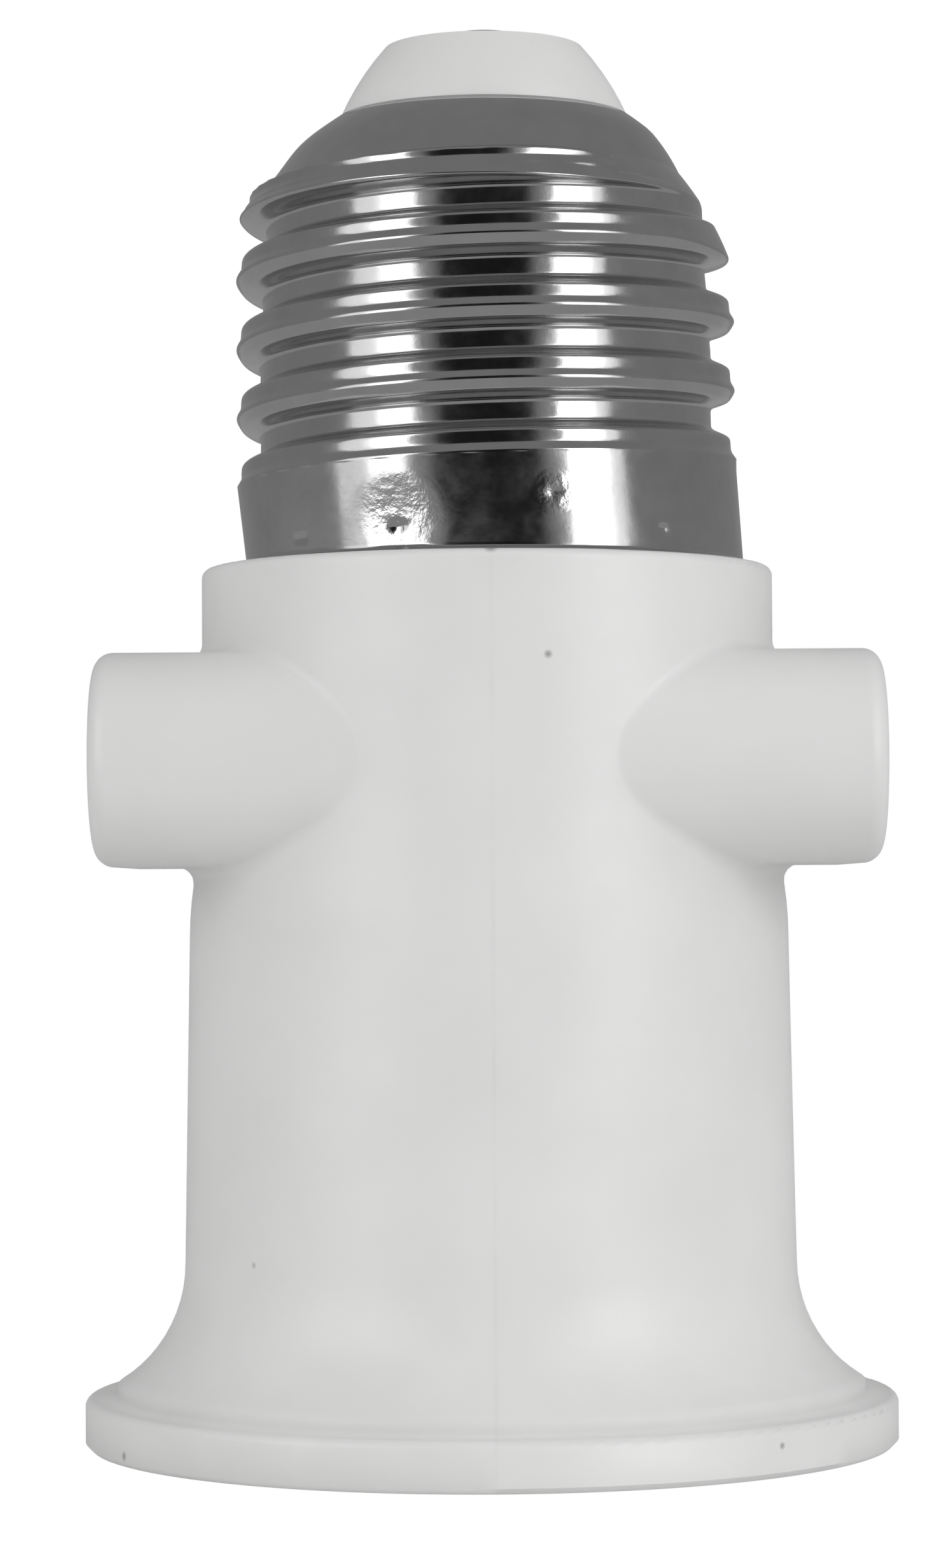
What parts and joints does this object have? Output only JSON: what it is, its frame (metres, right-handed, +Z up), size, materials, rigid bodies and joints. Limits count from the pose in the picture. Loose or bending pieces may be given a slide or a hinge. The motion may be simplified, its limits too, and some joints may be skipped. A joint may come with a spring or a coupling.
{
  "type": "lamp socket adapter",
  "caption": "Screw-in lamp socket adapter with a plated cap on top, side outlets for round plug pins and a downward lamp socket in a flared, flanged foot.",
  "frame": {"origin": "centre of the flange's underside", "axes": "+Z up through the screw cap, +X out of one side outlet, +Y towards the live rail"},
  "size_m": [0.0424, 0.0424, 0.074],
  "materials": {
    "white_plastic": "satin",
    "plated_steel": "bright plated",
    "plated_brass": "bright plated",
    "brass": "satin",
    "base_plastic": "matte",
    "copper": "bare copper",
    "live_insulation": "matte",
    "neutral_insulation": "matte",
    "solder": "satin"
  },
  "bodies": {
    "adapter": {"housing": "white_plastic", "screw_shell": "plated_steel", "tip_contact": "plated_brass", "tip_tag": "brass", "socket_base": "base_plastic", "socket_shell": "plated_steel", "live_rail": "brass", "neutral_rail": "brass", "live_rivet": "plated_brass", "neutral_rivet": "plated_brass", "contact_leaf": "brass", "base_screws": "plated_steel", "live_wire": "copper", "live_sleeve": "live_insulation", "neutral_wire": "copper", "neutral_sleeve": "neutral_insulation", "rail_solder": "solder", "tag_solder": "solder", "ring_solder": "solder"},
    "contact_button": {"center_contact": "plated_brass"}
  },
  "joints": [
    {"name": "contact_travel", "type": "slide", "parent": "adapter", "child": "contact_button", "axis": [0, 0, 1], "range_m": [0, 0.0015], "stiffness_N_per_m": 2500, "deforming": ["contact_leaf"]}
  ]
}
